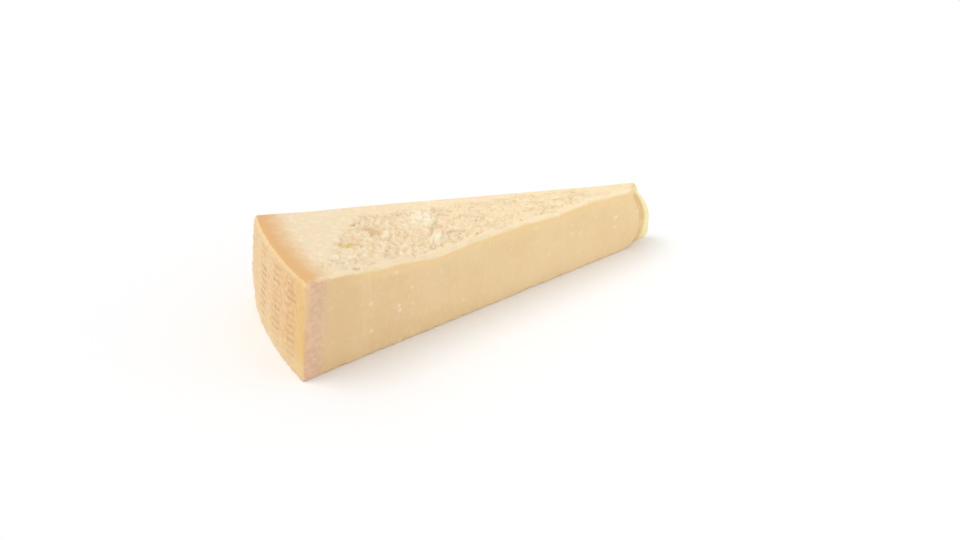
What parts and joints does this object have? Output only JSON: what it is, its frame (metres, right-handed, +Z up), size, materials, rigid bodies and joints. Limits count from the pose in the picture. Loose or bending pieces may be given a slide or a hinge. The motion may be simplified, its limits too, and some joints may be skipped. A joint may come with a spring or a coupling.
{
  "type": "parmesan chunk",
  "caption": "Wedge-shaped chunk of hard grating cheese with a rind heel, smooth cut sides, a torn craggy top and a blunt broken nose.",
  "frame": {"origin": "middle of the footprint's box, on the underside", "axes": "+X from the rind heel towards the nose, +Z up, -Y is the smooth cut face that the picture shows"},
  "size_m": [0.1946, 0.0712, 0.0492],
  "materials": {
    "cheese": "dull, slightly waxy, pale straw paste with a golden rind"
  },
  "bodies": {
    "root": {"parmesan_chunk": "cheese"}
  },
  "joints": []
}
